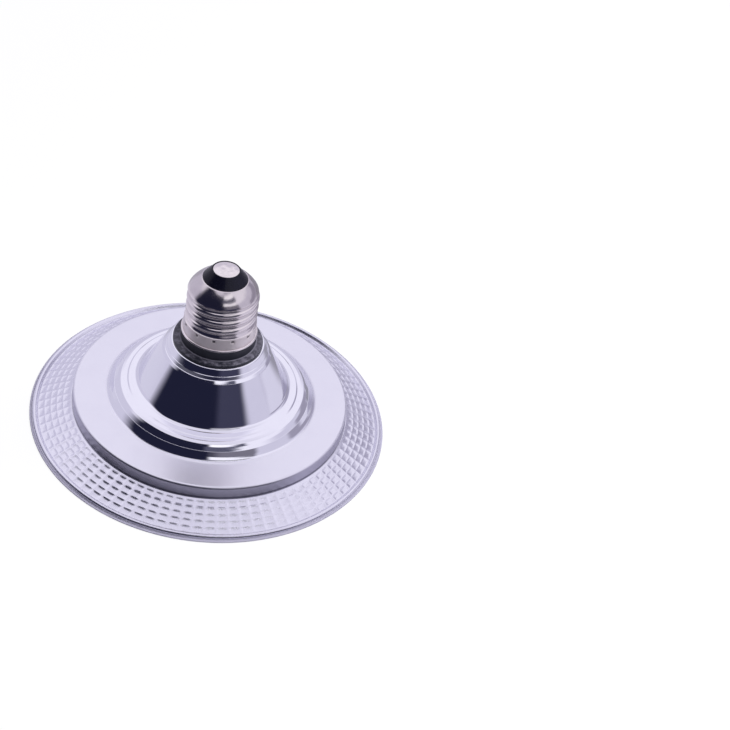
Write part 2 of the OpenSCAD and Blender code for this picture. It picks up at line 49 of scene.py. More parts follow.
# Heights of the lamp in millimetres, from the rim's underside up, as the solids have them
SHOULDER = 6.6
LENS_SEAT = 5.7
BOARD_FACE = 9.5
PAN = 11.5
STEP = 16.2
BELL = 17.2
RINGS = 32.4
NECK = 37.2
SKIRT = 42.05
THREAD = 47.65
DOME = 59.65
SHELL = 65.65
CONTACT = 69.45

# Radii of the lamp in millimetres; the rim's is a hair under the solid's, whose box it keeps to
RIM_R = 67.48
EDGE_R = 66.4
HUB_R = 52.3
BOARD_R = 49.5
NECK_R = 17.3
NECK_HOLE_R = 14.85
LENS_R = 50.15
CONTACT_R = 4.7

# The cap's round thread: its radius over the crests, its pitch, and the radius of its arcs
THREAD_R = 13.1
PITCH = 3.629
THREAD_ARC = 1.0732

# Rings of chips on the light board: how many, at what radius, and the turn of the first
OUTER_CHIPS = (22, 44.0, 180 / 22)
INNER_CHIPS = (20, 35.8, 0.0)
GROW_CHIPS = (6, 20.2, 0.0)
CHIP_L, CHIP_W, CHIP_H = 3.5, 2.8, 0.8

# The leads' pads on the light board: their radius, and their turns (plus first, then minus)
PAD_RING = 11.5
PLUS_PAD, MINUS_PAD = 150, 210


# Finishes

class Value:
    """A number in a finish. Arithmetic on it adds Math nodes."""

    def __init__(self, finish, socket):
        self.finish = finish
        self.socket = socket

    def math(self, operation, *values):
        return self.finish.node("ShaderNodeMath", {"operation": operation}, values)

    def __add__(self, other):
        return self.math("ADD", self, other)

    def __sub__(self, other):
        return self.math("SUBTRACT", self, other)

    def __rsub__(self, other):
        return self.math("SUBTRACT", other, self)

    def __mul__(self, other):
        return self.math("MULTIPLY", self, other)

    def __pow__(self, other):
        return self.math("POWER", self, other)

    def __abs__(self):
        return self.math("ABSOLUTE", self)

    __radd__ = __add__
    __rmul__ = __mul__

    def rise(self, low, high):
        """0 below low, 1 above high, and a smooth step between them."""
        return self.finish.node("ShaderNodeMapRange", {"interpolation_type": "SMOOTHSTEP"},
                                {0: self, 1: low, 2: high})

    def band(self, low, high, soft):
        """1 between low and high and 0 outside, with edges this soft."""
        return self.rise(low - soft, low) * (1 - self.rise(high, high + soft))

    def wave(self, period):
        """A sine wave along this value, from 0 to 1."""
        return self.math("SINE", self * (2 * math.pi / period)) * 0.5 + 0.5


class Finish:
    """A material that is made of nodes on Object coordinates in millimetres."""

    def __init__(self, name, tree=None):
        self.material = self.placed = None
        if tree is None:
            self.material = bpy.data.materials.new(name)
            self.material.use_nodes = True
            tree = self.material.node_tree
        self.tree = tree
        self.tree.nodes.clear()

    def node(self, kind, settings=None, values=(), out=0):
        """Adds a node of this type, with its settings set first and then its sockets, which are
        given in order or by name or number. Returns its output as a Value."""
        made = self.tree.nodes.new(kind)
        for key, setting in (settings or {}).items():
            setattr(made, key, setting)
        named = values.items() if isinstance(values, dict) else enumerate(values)
        for key, value in named:
            if isinstance(value, Value):
                self.tree.links.new(value.socket, made.inputs[key])
            elif isinstance(value, (tuple, list)) and len(value) == 3 \
                    and made.inputs[key].type == "RGBA":
                made.inputs[key].default_value = (*value, 1)
            else:
                made.inputs[key].default_value = value
        return Value(self, made.outputs[out]) if len(made.outputs) else None

    def split(self, vector):
        """The three numbers of a vector."""
        outputs = self.node("ShaderNodeSeparateXYZ", values=(vector,)).socket.node.outputs
        return tuple(Value(self, output) for output in outputs)

    def join(self, x, y, z):
        return self.node("ShaderNodeCombineXYZ", values=(x, y, z))

    def place(self):
        """x, y, z and the distance from the lamp's axis, in millimetres."""
        if self.placed is None:
            where = self.node("ShaderNodeTexCoord", out="Object")
            self.where = self.node("ShaderNodeVectorMath", {"operation": "SCALE"},
                                   {0: where, "Scale": 1 / MM})
            x, y, z = self.split(self.where)
            self.placed = x, y, z, (x * x + y * y) ** 0.5
        return self.placed

    def angle(self, a, b):
        """The angle whose tangent is a / b, from -pi to pi."""
        return self.node("ShaderNodeMath", {"operation": "ARCTAN2"}, (a, b))

    def attribute(self, name):
        """A number that the piece's mesh carries at its points."""
        return self.node("ShaderNodeAttribute", {"attribute_name": name}, out="Fac")

    def noise(self, scale, detail=2.0, rough=0.5, along=None):
        """Noise from 0 to 1, with features of about 1 / scale millimetres, or along other
        coordinates than the piece's own."""
        self.place()
        return self.node("ShaderNodeTexNoise", values={
            "Vector": self.where if along is None else along,
            "Scale": scale, "Detail": detail, "Roughness": rough})

    def mix(self, factor, a, b):
        return self.node("ShaderNodeMix", {"data_type": "RGBA"}, {0: factor, 6: a, 7: b}, 2)

    def bump(self, height, depth, strength=1.0):
        """A normal for heights from 0 to 1 of this depth in millimetres."""
        return self.node("ShaderNodeBump", values={
            "Strength": strength, "Distance": depth * MM, "Height": height})

    def skin(self, **sockets):
        """A Principled surface, with its sockets by name."""
        return self.node("ShaderNodeBsdfPrincipled",
                         values={k.replace("_", " "): v for k, v in sockets.items()})

    def done(self, shader):
        self.node("ShaderNodeOutputMaterial", values=(shader,))
        return self.material


def worn(finish, scale, low, high):
    """Roughness that wanders between low and high, as handling leaves it."""
    return finish.noise(scale, 4.0, 0.6).rise(0.3, 0.75) * (high - low) + low


def polished_sheet():
    """Spun and polished aluminium: a mirror on the bell, a satin face on the pan, painted shade
    on the wall round it and a painted shadow along its foot."""
    f = Finish("polished_sheet")
    x, y, z, r = f.place()
    satin = r.rise(38.2, 39.6)
    side = r.rise(50.5, 51.2)
    wall = (1 - z.rise(PAN - 0.7, PAN - 0.2)) * side
    seam_shadow = (1 - z.rise(SHOULDER + 0.35, SHOULDER + 0.9)) * side
    rings = f.noise(1.0, 3.0, 0.7, along=f.join(r * 2.6, z * 2.6, 0.0))
    dents = f.noise(0.045, 1.0, 0.4)
    scratch = f.noise(0.9, 5.0, 0.75).rise(0.66, 0.78)
    rough = 0.05 + satin * 0.26 + rings * 0.03 + scratch * 0.05 * (1 - satin) - wall * 0.04
    base = f.mix(satin, (0.88, 0.875, 0.93), (0.87, 0.86, 0.92))
    base = f.mix(f.noise(0.12, 3.0).rise(0.35, 0.8) * 0.2, base, (0.78, 0.77, 0.85))
    # painted shade: the wall round the pan is painted a darker grey, standing in for the dark
    # reflection it shows
    base = f.mix(wall * 0.65, base, (0.40, 0.39, 0.46))
    # painted shadow: a near-black band along the wall's foot, where the sheet meets the flange's
    # hub
    base = f.mix(seam_shadow * 0.7, base, (0.05, 0.05, 0.08))
    height = dents * 0.9 + rings * 0.012 * (1 + satin * 1.2)
    return f.done(f.skin(Base_Color=base, Metallic=1.0, Roughness=rough,
                         Normal=f.bump(height, 0.35, 0.9)))


def mirror_coat():
    """Vacuum-metallised plastic with fine streaks along its rings, and a clear, uncoated edge
    behind a faint dark line of painted reflection."""
    f = Finish("mirror_coat")
    x, y, z, r = f.place()
    clear = r.rise(EDGE_R + 0.05, EDGE_R + 0.3)
    dark_reflection_line = r.band(EDGE_R - 0.05, EDGE_R + 0.3, 0.1) * (1 - z.rise(1.0, 1.25))
    facets = r.band(HUB_R, EDGE_R - 2.0, 0.3)
    bead = r.rise(EDGE_R - 2.2, EDGE_R - 1.8) * (1 - clear)
    speck = f.noise(1.7, 3.0).rise(0.62, 0.75)
    base = f.mix(f.noise(0.2, 2.0), (0.86, 0.85, 0.92), (0.79, 0.78, 0.86))
    base = f.mix(clear, base, (0.40, 0.385, 0.48))
    # painted reflection: a faint dark line painted all round where the clear edge meets the bead
    base = f.mix(dark_reflection_line * 0.2, base, (0.05, 0.05, 0.09))
    rough = (worn(f, 0.35, 0.05, 0.1) + speck * 0.05 + clear * 0.12 + facets * 0.18
             + bead * 0.16)
    streak = f.noise(1.0, 4.0, 0.75, along=f.join(r * 3.5, f.angle(y, x) * 9.0, 0.0))
    height = f.noise(0.5, 2.0) * 0.5 + f.noise(2.6, 3.0, 0.7) * 0.3 + streak * 0.6
    return f.done(f.skin(Base_Color=base, Metallic=1 - clear, Roughness=rough,
                         Normal=f.bump(height, 0.07, 0.6)))


def clear_plastic():
    """Clear moulded plastic that lets the lamps through."""
    f = Finish("clear_plastic")
    through = f.node("ShaderNodeBsdfTransparent", values={"Color": (0.93, 0.94, 0.98)})
    glass = f.skin(Base_Color=(0.96, 0.965, 1.0), Roughness=worn(f, 0.5, 0.02, 0.06),
                   IOR=1.49, Transmission_Weight=1.0)
    shadow = f.node("ShaderNodeLightPath", out="Is Shadow Ray")
    return f.done(f.node("ShaderNodeMixShader", values=(shadow, glass, through)))


def white_mask():
    """White solder mask with faint copper tracks under it."""
    f = Finish("white_mask")
    x, y, z, r = f.place()
    sector = f.angle(y, x) * (OUTER_CHIPS[0] / (2 * math.pi))
    spokes = sector.math("FRACT", sector).band(0.08, 0.92, 0.03)
    tracks = (r.band(38.5, 41.3, 0.1) + r.band(46.6, 48.2, 0.1)
              + r.band(23.5, 32.8, 0.1) * spokes * 0.8)
    edge = r.rise(BOARD_R - 0.6, BOARD_R - 0.2)
    base = f.mix(f.noise(0.08, 3.0), (0.80, 0.79, 0.88), (0.86, 0.86, 0.93))
    base = f.mix(tracks * 0.35, base, (0.76, 0.75, 0.84))
    base = f.mix(edge, base, (0.74, 0.73, 0.76))
    height = tracks * 0.8 + f.noise(3.0, 2.0) * 0.15
    return f.done(f.skin(Base_Color=base, Roughness=worn(f, 0.6, 0.3, 0.4), Coat_Weight=0.2,
                         Normal=f.bump(height, 0.03)))


def chip_package():
    """White moulded packages."""
    f = Finish("chip_package")
    base = f.mix(f.noise(0.8), (0.86, 0.86, 0.88), (0.92, 0.92, 0.93))
    return f.done(f.skin(Base_Color=base, Roughness=worn(f, 2.0, 0.28, 0.42)))


def phosphor():
    """Yellow phosphor gel, paler where it thins out at its edge."""
    f = Finish("phosphor")
    across = f.attribute("across")
    base = f.mix(across.rise(0.35, 0.95), (0.93, 0.80, 0.28), (0.96, 0.93, 0.66))
    base = f.mix(f.noise(3.0) * 0.4, base, (0.90, 0.84, 0.45))
    return f.done(f.skin(Base_Color=base, Roughness=worn(f, 2.5, 0.14, 0.26),
                         Coat_Weight=0.5))


def grow_gel():
    """Clear gel over a small dark die on a silver cup."""
    f = Finish("grow_gel")
    across = f.attribute("across")
    base = f.mix(across.rise(0.2, 0.3), (0.20, 0.09, 0.12), (0.62, 0.60, 0.66))
    base = f.mix(across.rise(0.75, 1.0), base, (0.74, 0.72, 0.78))
    return f.done(f.skin(Base_Color=base, Roughness=worn(f, 2.5, 0.1, 0.2), Coat_Weight=0.7))


def nickel(name, tint, rough, pits=0.03):
    """Nickel plate with fine pits and a duller film here and there."""
    f = Finish(name)
    film = f.noise(0.25, 4.0, 0.65).rise(0.45, 0.8)
    base = f.mix(film, tint, tuple(c * 0.86 for c in tint))
    return f.done(f.skin(Base_Color=base, Metallic=1.0,
                         Roughness=film * 0.1 + rough + f.noise(2.2) * 0.04,
                         Normal=f.bump(f.noise(1.6, 4.0, 0.6), pits)))


def cap_plate():
    """Warm nickel plate on the screw cap, rougher and with painted shade in the thread's roots,
    and with painted shade in and round the staked dents.
    """
    f = Finish("cap_plate")
    x, y, z, r = f.place()
    root = (1 - r.rise(12.3, 12.9)) * z.rise(THREAD + 0.5, THREAD + 1.5)
    skirt = (1 - z.rise(THREAD - 0.2, THREAD + 0.1)) * (1 - r.rise(13.55, 13.65))
    film = f.noise(0.22, 4.0, 0.65).rise(0.4, 0.8)
    dent = f.attribute("dent")
    dent_shade_halo = dent.rise(0.0, 0.5) * f.noise(0.9, 4.0, 0.7).rise(0.4, 0.6)
    stain = skirt * f.noise(0.35, 4.0, 0.7).rise(0.5, 0.75)
    base = f.mix(film, (0.86, 0.80, 0.79), (0.79, 0.73, 0.73))
    # painted shade: the thread's roots are painted darker, where shade falls between the crests
    base = f.mix(root * 0.4, base, (0.50, 0.46, 0.48))
    base = f.mix(skirt * 0.6, base, (0.60, 0.54, 0.56))
    base = f.mix(stain * 0.35, base, (0.42, 0.36, 0.38))
    # painted shade: the staked dents are painted nearly black where they sink, with a ragged halo
    # of the same painted shade round them
    base = f.mix(dent.rise(0.35, 0.85) * 0.8 + dent_shade_halo * 0.15, base, (0.03, 0.025, 0.035))
    rough = film * 0.05 + 0.06 + root * 0.06 + skirt * 0.3 + f.noise(2.0) * 0.03
    return f.done(f.skin(Base_Color=base, Metallic=1 - skirt * 0.3 - dent * 0.3, Roughness=rough,
                         Normal=f.bump(f.noise(0.7, 3.0, 0.5), 0.018)))


def solder(name, tint, rough=0.16):
    """Solder that froze with a soft, slightly crazed skin."""
    f = Finish(name)
    flow = f.noise(0.9, 2.0)
    craze = f.noise(3.5, 4.0, 0.7)
    base = f.mix(flow, tint, tuple(c * 0.82 for c in tint))
    return f.done(f.skin(Base_Color=base, Metallic=1.0, Roughness=craze * 0.16 + rough,
                         Normal=f.bump(flow * 0.7 + craze * 0.3, 0.12)))


def moulded(name, tint, rough, grain=2.5, depth=0.03, coat=0.0, gloss=0.5):
    """Moulded or dipped plastic with a fine grain."""
    f = Finish(name)
    paler = tuple(min(1.0, c * 1.3 + 0.003) for c in tint)
    base = f.mix(f.noise(0.35, 4.0, 0.6), tint, paler)
    return f.done(f.skin(Base_Color=base, Roughness=worn(f, 0.8, rough, rough + 0.14),
                         Coat_Weight=coat, Specular_IOR_Level=gloss,
                         Normal=f.bump(f.noise(grain, 3.0), depth)))


def case_black():
    """Black moulded plastic, with pale dust on its brim and a painted highlight along the corner
    under its collar.
    """
    f = Finish("case_black")
    x, y, z, r = f.place()
    brim = r.rise(14.05, 14.3) * z.band(NECK + 0.9, NECK + 1.4, 0.15)
    sides = abs(x).rise(2.0, 14.0)
    dust = f.noise(0.5, 4.0, 0.75).rise(0.42, 0.66) * 0.75 + sides * 0.25
    corner = (1 - r.rise(14.1, 14.4)) * z.band(NECK + 1.1, NECK + 1.35, 0.08)
    base = f.mix(f.noise(0.35, 4.0, 0.6), (0.013, 0.014, 0.022), (0.022, 0.023, 0.032))
    base = f.mix(brim * dust, base, (0.17, 0.16, 0.20))
    # painted highlight: a pale line painted in the corner under the collar
    base = f.mix(corner * 0.7, base, (0.26, 0.25, 0.30))
    rough = worn(f, 0.8, 0.3, 0.42) + brim * dust * 0.2
    return f.done(f.skin(Base_Color=base, Roughness=rough, Specular_IOR_Level=0.3,
                         Normal=f.bump(f.noise(2.5, 3.0), 0.03)))


def driver_mask():
    """Dark solder mask with tracks that show as a relief."""
    f = Finish("driver_mask")
    x, y, z, r = f.place()
    tracks = x.wave(3.1).rise(0.7, 0.8) * y.wave(5.3).rise(0.3, 0.4)
    base = f.mix(tracks, (0.045, 0.075, 0.14), (0.07, 0.12, 0.21))
    return f.done(f.skin(Base_Color=base, Roughness=worn(f, 0.7, 0.25, 0.38), Coat_Weight=0.4,
                         Normal=f.bump(tracks, 0.04)))


def sleeve():
    """Printed sleeve of the capacitor: dark blue with a pale stripe down one side."""
    f = Finish("sleeve")
    x, y, z, r = f.place()
    stripe = (1 - x.rise(-8.6, -8.4)) * y.band(-1.4, 1.4, 0.1)
    top = z.rise(30.3, 30.5)
    base = f.mix(stripe, (0.03, 0.035, 0.13), (0.55, 0.56, 0.62))
    base = f.mix(top, base, (0.62, 0.62, 0.64))
    return f.done(f.skin(Base_Color=base, Metallic=top, Roughness=worn(f, 1.0, 0.2, 0.34),
                         Coat_Weight=0.4))


def resistor_bands():
    """Lacquered resistor body with plain code bands and tinned ends."""
    f = Finish("resistor_bands")
    x, y, z, r = f.place()
    foot = 18.1
    up = z - foot
    ends = 1 - up.band(0.8, 6.0, 0.05)
    base = f.mix(up.band(1.6, 2.0, 0.05), (0.32, 0.52, 0.40), (0.20, 0.09, 0.03))
    base = f.mix(up.band(2.7, 3.1, 0.05), base, (0.02, 0.02, 0.02))
    base = f.mix(up.band(3.8, 4.2, 0.05), base, (0.55, 0.05, 0.03))
    base = f.mix(ends, base, (0.72, 0.71, 0.70))
    return f.done(f.skin(Base_Color=base, Metallic=ends, Roughness=worn(f, 1.5, 0.22, 0.34)))


def ink():
    """Black print, thinner here and there."""
    f = Finish("ink")
    base = f.mix(f.noise(2.5), (0.035, 0.035, 0.05), (0.09, 0.09, 0.11))
    return f.done(f.skin(Base_Color=base, Roughness=worn(f, 2.0, 0.45, 0.6)))


# Surfaces

def rounded(corners, offset=0.0, steps=7, pitch=1.0):
    """Points along a path of (radius, height, rounding) corners that is moved left by offset.
    A corner becomes an arc that touches both its sides, whose radius grows or shrinks with the
    offset, and straight stretches are cut into pieces of about the given pitch."""
    c = np.array(corners, float)
    p = c[:, :2]
    along = np.diff(p, axis=0)
    along /= np.linalg.norm(along, axis=1)[:, None]
    left = np.stack([-along[:, 1], along[:, 0]], 1)
    before, after = np.vstack([left[:1], left]), np.vstack([left, left[-1:]])
    p = p + offset * (before + after) / (1 + (before * after).sum(1))[:, None]
    points = [p[:1]]
    for k in range(1, len(p) - 1):
        u, v = p[k - 1] - p[k], p[k + 1] - p[k]
        u, v = u / np.linalg.norm(u), v / np.linalg.norm(v)
        to_left = u[0] * v[1] - u[1] * v[0] < 0
        radius = c[k, 2] + (-offset if to_left else offset)
        if c[k, 2] == 0 or radius <= 0.02:
            points.append(p[k:k + 1])
            continue
        half = math.acos(np.clip(u @ v, -1, 1)) / 2
        reach = radius / math.tan(half)
        centre = p[k] + (u + v) / np.linalg.norm(u + v) * radius / math.sin(half)
        start, end = p[k] + u * reach - centre, p[k] + v * reach - centre
        a = math.atan2(start[1], start[0])
        turn = math.atan2(start[0] * end[1] - start[1] * end[0], start @ end)
        t = a + turn * np.linspace(0, 1, steps + 1)
        points.append(centre + radius * np.stack([np.cos(t), np.sin(t)], 1))
    points.append(p[-1:])
    return cut(np.vstack(points), pitch)


def cut(path, pitch):
    """The path with its long stretches cut into even pieces, and a short piece at each end of
    them, so that shading stays true to the corners."""
    out = [path[:1]]
    for a, b in zip(path[:-1], path[1:]):
        length = np.linalg.norm(b - a)
        n = max(1, round(length / pitch))
        t = np.linspace(0, 1, n + 1)[1:]
        if n > 1:
            t = np.concatenate([[0.12 / n], t[:-1], [1 - 0.12 / n, 1]])
        out.append(a + (b - a) * t[:, None])
    return np.vstack(out)


def turned(path, steps, start=0.0):
    """Grid of points on a surface of revolution: each (r, z) of the path goes round the axis."""
    a = start + 2 * math.pi * np.arange(steps) / steps
    r, z = path[:, 0, None], path[:, 1, None]
    return np.stack([r * np.cos(a), r * np.sin(a), z + 0 * a], 2)


def grid_faces(rows, columns, loop_rows=False, loop_columns=True, first=0):
    """Quads between neighbouring points of a grid, which may close on itself either way."""
    i = np.arange(rows if loop_rows else rows - 1)[:, None]
    j = np.arange(columns if loop_columns else columns - 1)[None, :]
    i1, j1 = (i + 1) % rows, (j + 1) % columns
    quads = np.stack([i * columns + j, i * columns + j1, i1 * columns + j1, i1 * columns + j], 2)
    return quads.reshape(-1, 4) + first


def add(name, data):
    """A new object in the scene that holds this mesh, lamp or camera."""
    made = bpy.data.objects.new(name, data)
    bpy.context.scene.collection.objects.link(made)
    return made


def piece(name, points, faces, finish, replaces=None, sharp=32.0, merge=False):
    """A finished piece in the lamp's frame, from points in millimetres. Edges sharper than the
    given angle stay crisp. Where points may coincide, they are merged and faces turned out."""
    mesh = bpy.data.meshes.new(name)
    mesh.from_pydata((np.asarray(points).reshape(-1, 3) * MM).tolist(), [],
                     [list(f) for f in faces])
    if merge:
        b = bmesh.new()
        b.from_mesh(mesh)
        bmesh.ops.remove_doubles(b, verts=b.verts, dist=1e-7)
        bmesh.ops.dissolve_degenerate(b, edges=b.edges, dist=1e-7)
        bmesh.ops.recalc_face_normals(b, faces=b.faces)
        b.to_mesh(mesh)
        b.free()
    mesh.validate()
    mesh.shade_smooth()
    mesh.set_sharp_from_angle(angle=math.radians(sharp))
    mesh.materials.append(finish)
    made = add(name, mesh)
    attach(made, BODY)
    if replaces:
        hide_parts(replaces)
    return made


def carry(made, name, values):
    """Writes a number at each of the piece's points, for its finish to read."""
    attribute = made.data.attributes.new(name, "FLOAT", "POINT")
    attribute.data.foreach_set("value", np.asarray(values, np.float32).ravel())


def turned_piece(name, path, steps, finish, slot, sharp=32.0):
    """A piece whose closed section goes once round the lamp's axis. It replaces the node that
    its slot is named after."""
    faces = grid_faces(len(path), steps, loop_rows=True)
    on_axis = bool((path[:, 0] < 1e-6).any())
    piece(name, turned(path, steps), faces[:, ::-1], finish, slot, sharp, on_axis)


def on_circle(radius, turn, z):
    """The point at this radius and turn in degrees."""
    a = math.radians(turn)
    return radius * math.cos(a), radius * math.sin(a), z


# The lamp's pieces

def bell_housing(finish):
    """The sheet from the pan's foot over the step and the bell to the neck's hole. Its outer
    side is a path of rounded corners, and its inner side is that path moved in by the sheet's
    thickness, with fewer points."""
    sheet = 0.8
    pan = [(52.1, SHOULDER, 0), (51.7, PAN, 0.9), (39.1, PAN, 2.4)]
    step_wall = [(37.75, STEP - 3.05, 4.0), (36.7, STEP - 1.55, 0), (36.61, STEP - 1.53, 0),
                 (35.5, STEP - 0.39, 4.0), (34.6, STEP + 0.4, 1.1)]
    step_top = [(33.4, STEP + 0.64, 2.0), (32.05, STEP + 0.65, 0.15), (31.55, STEP + 0.95, 0.15)]
    bell = [(28.4, BELL, 2.2), (20.2, RINGS + 0.05, 0.5)]
    beads = [(19.3, RINGS + 0.9, 0.1), (19.05, RINGS + 1.0, 0.1),
             (18.6, RINGS + 2.2, 0.1), (18.4, RINGS + 2.35, 0.1)]
    neck = [(NECK_R, NECK, 0.6), (NECK_HOLE_R, NECK, 0)]
    corners = pan + step_wall + step_top + bell + beads + neck
    outer = rounded(corners, 0.0, 9, 0.8)
    inner = rounded(corners, sheet, 4, 2.5)
    inner[0, 1] = SHOULDER
    turned_piece("bell_housing", np.vstack([outer, inner[::-1]]), 240, finish, "housing")


def mirror_rim(finish):
    """The faceted flange with its hub, its bead and its clear edge. Each cell of the flange is a
    shallow pan: 0 at its border, and sunk by the facet's height over its middle half, as the
    product of one trapezium across it and one along it. Its underside has fewer rows."""
    round_count, rows, sunk = 90, 5, 0.24
    fine = np.array([0.0, 0.05, 0.14, 0.22, 0.29, 0.5, 0.71, 0.78, 0.86, 0.95])
    coarse = np.array([0.0, 0.12, 0.26, 0.74, 0.88])
    first, last = HUB_R + 0.7, EDGE_R - 2.2

    def swell(stops):
        """Trapezium over a cell from 0 to 1, with a little taken off its shoulders."""
        near = np.minimum(stops, 1 - stops) / 0.25
        return (np.clip(near, 0, 1) - 0.08 * np.exp(-((near - 1) / 0.15) ** 2)) * (stops > 0)

    def flange(stops, low, high):
        """Path of one side from the hub out, and how far its cells sink there."""
        along = np.append((np.arange(rows)[:, None] + stops).ravel() / rows, 1)
        radii = first + (last - first) * along
        heights = low + (high - low) * (last - radii) / (last - HUB_R)
        return np.stack([radii, heights], 1), np.append(np.tile(swell(stops), rows), 0)

    top, top_sunk = flange(fine, 1.05, 6.35)
    bottom, bottom_sunk = flange(coarse, 0.25, 4.9)
    before = np.array([[48.7, LENS_SEAT], [48.7, BOARD_FACE], [50.8, BOARD_FACE],
                       [50.8, SHOULDER], [HUB_R, SHOULDER], [HUB_R, 6.35]])
    t = np.radians(np.linspace(140, 0, 11))
    bead = np.stack([EDGE_R - 0.8 + 0.8 * np.cos(t), 1.25 + 0.8 * np.sin(t)], 1)
    edge = np.vstack([[[last + 0.12, 1.07]], bead,
                      [[EDGE_R, 0.68], [EDGE_R + 0.08, 0.63], [RIM_R - 0.2, 0.64],
                       [RIM_R - 0.05, 0.58], [RIM_R, 0.45], [RIM_R, 0.1], [RIM_R - 0.08, 0.0],
                       [EDGE_R, 0.0], [EDGE_R, 0.2], [last + 0.05, 0.2]]])
    after = np.array([[HUB_R, 4.9], [HUB_R, 4.65], [50.6, 5.31], [50.6, LENS_SEAT]])
    path = np.vstack([before, top, edge, bottom[::-1], after])
    depth = np.concatenate([np.zeros(len(before)), top_sunk, np.zeros(len(edge)),
                            bottom_sunk[::-1], np.zeros(len(after))])
    turn = (np.arange(round_count)[:, None] + fine).ravel() / round_count * 2 * math.pi
    lift = -sunk * depth[:, None] * np.tile(swell(fine), round_count)[None, :]
    r, z = path[:, 0, None], path[:, 1, None]
    points = np.stack([r * np.cos(turn), r * np.sin(turn), z + lift], 2)
    faces = grid_faces(len(path), len(turn), loop_rows=True)
    piece("mirror_rim", points, faces[:, ::-1], finish, "reflector", 24.0)


def lens_cover(finish):
    """A shallow dish whose face is bowed down by a parabola over its radius."""
    wall, depth, bow = 1.5, 3.3, 0.5
    share = np.cos(np.radians([0, 26, 32, 38, 44, 50, 56, 62, 68, 74, 80, 85, 90]))
    face = [(LENS_R * s, LENS_SEAT - depth + bow * s * s, 2.6 if s == 1 else 0) for s in share]
    corners = [(LENS_R + 0.3, LENS_SEAT, 0)] + face
    outer, inner = rounded(corners, 0.0, 10, 2.0), rounded(corners, -wall, 6, 2.0)
    inner[0, 1] = LENS_SEAT
    inner[-1, 0] = outer[-1, 0] = 0.0
    turned_piece("lens_cover", np.vstack([outer, inner[::-1]]), 160, finish, "lens", 40.0)


def cap_radius(turn, z):
    """Radius of the cap's wall: the round thread's crest and root are two equal arcs that meet
    half way down. It fades in over the skirt, and is cut by the domed shoulder, a power curve."""
    fade = np.clip((z - THREAD) / (PITCH * 0.6), 0, 1)
    fade = fade * fade * (3 - 2 * fade)
    crest = THREAD + PITCH * 0.75
    share = ((z - crest) / PITCH - (turn + math.pi / 2) / (2 * math.pi) + 0.5) % 1 - 0.5
    from_crest = np.abs(share) * PITCH
    from_root = PITCH / 2 - from_crest

    def arc(along):
        """How far an arc has turned away after this distance."""
        return THREAD_ARC - np.sqrt(THREAD_ARC ** 2 - np.minimum(along, PITCH / 4) ** 2)

    wave = -np.where(from_crest < PITCH / 4, arc(from_crest), 1 - arc(from_root))
    up = np.clip((z - DOME) / (SHELL - DOME), 0, 1)
    top_r = 8.5
    dome = top_r + (THREAD_R - top_r) * (1 - up ** 1.6)
    return np.minimum(THREAD_R + wave * fade, dome)


def screw_cap(finish):
    """The cap: a rolled lip, a skirt with a ring of staked dents, the thread, the domed shoulder
    and a plain bore. A dent is a smooth square pit that follows a power of its distance."""
    steps, skirt_r, lip_r = 288, 13.3, 0.5
    turn = 2 * math.pi * np.arange(steps) / steps
    t = np.radians(np.linspace(-90, 80, 11))
    lip = np.stack([13.6 + lip_r * np.cos(t), SKIRT + lip_r + lip_r * np.sin(t)], 1)
    skirt = cut(np.array([[13.52, SKIRT + 1.0], [13.5, SKIRT + 1.12], [skirt_r, THREAD]]), 0.28)
    foot = turned(np.vstack([lip, skirt]), steps)
    dents, first_dent, half_width, half_height = 12, 271, 0.72, 0.62
    centres = np.radians(first_dent + 360 / dents * np.arange(dents))
    away = (turn[:, None] - centres + math.pi) % (2 * math.pi) - math.pi
    across = np.abs(away).min(1) * skirt_r / half_width
    tall = np.abs(foot[:, 0, 2] - (THREAD - 1.25)) / half_height
    pit = np.clip(1 - across[None, :] ** 4 - tall[:, None] ** 4, 0, 1)
    foot[:, :, :2] *= (1 - 0.033 * pit ** 0.6)[:, :, None]
    z = np.concatenate([np.linspace(THREAD + 0.12, DOME, 108),
                        np.linspace(DOME + 0.15, SHELL, 44)])
    r = cap_radius(turn[None, :], z[:, None])
    wall = np.stack([r * np.cos(turn), r * np.sin(turn), z[:, None] + 0 * r], 2)
    bore = turned(np.array([[7.2, SHELL], [7.2, SHELL - 0.6], [8.0, SHELL - 0.6],
                            [11.5, DOME + 1.8], [11.5, THREAD - 0.2], [12.8, THREAD - 0.2],
                            [12.8, SKIRT]]), steps)
    points = np.concatenate([foot, wall, bore])
    faces = grid_faces(len(points), steps, loop_rows=True)
    made = piece("screw_cap", points, faces, finish, "cap_shell", 42.0)
    depths = np.zeros(points.shape[:2])
    depths[:len(pit)] = pit
    carry(made, "dent", depths)


